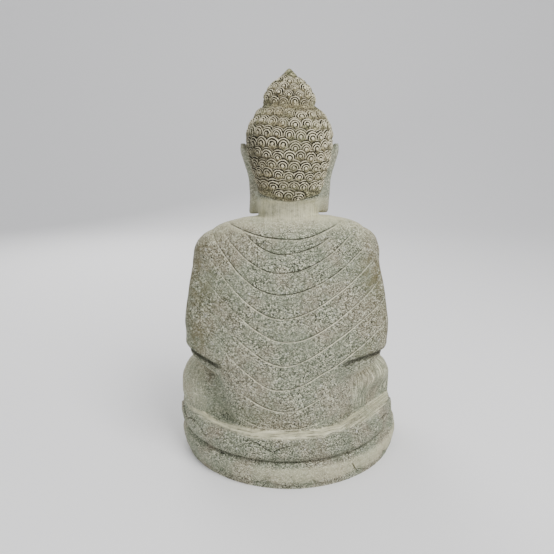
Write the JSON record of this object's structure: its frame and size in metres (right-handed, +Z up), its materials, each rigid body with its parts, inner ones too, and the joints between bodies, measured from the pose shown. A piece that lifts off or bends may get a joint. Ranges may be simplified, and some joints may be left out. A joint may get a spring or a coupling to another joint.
{
  "type": "garden sculpture",
  "caption": "Seated Buddha carved in one block of stone, in a robe that hangs in curved folds, with tight curls and long ears, on an oval lotus base that stands on its flat underside.",
  "frame": {"origin": "middle of the base's flat underside, in the middle of the statue's width and depth", "axes": "+Z up through the topknot, -Y to the front where the face looks, +X to the figure's own left"},
  "size_m": [0.4986, 0.417, 0.8003],
  "materials": {
    "grey_green_stone": "matt, hand chiselled"
  },
  "bodies": {
    "root": {"buddha_statue": "grey_green_stone"}
  },
  "joints": []
}
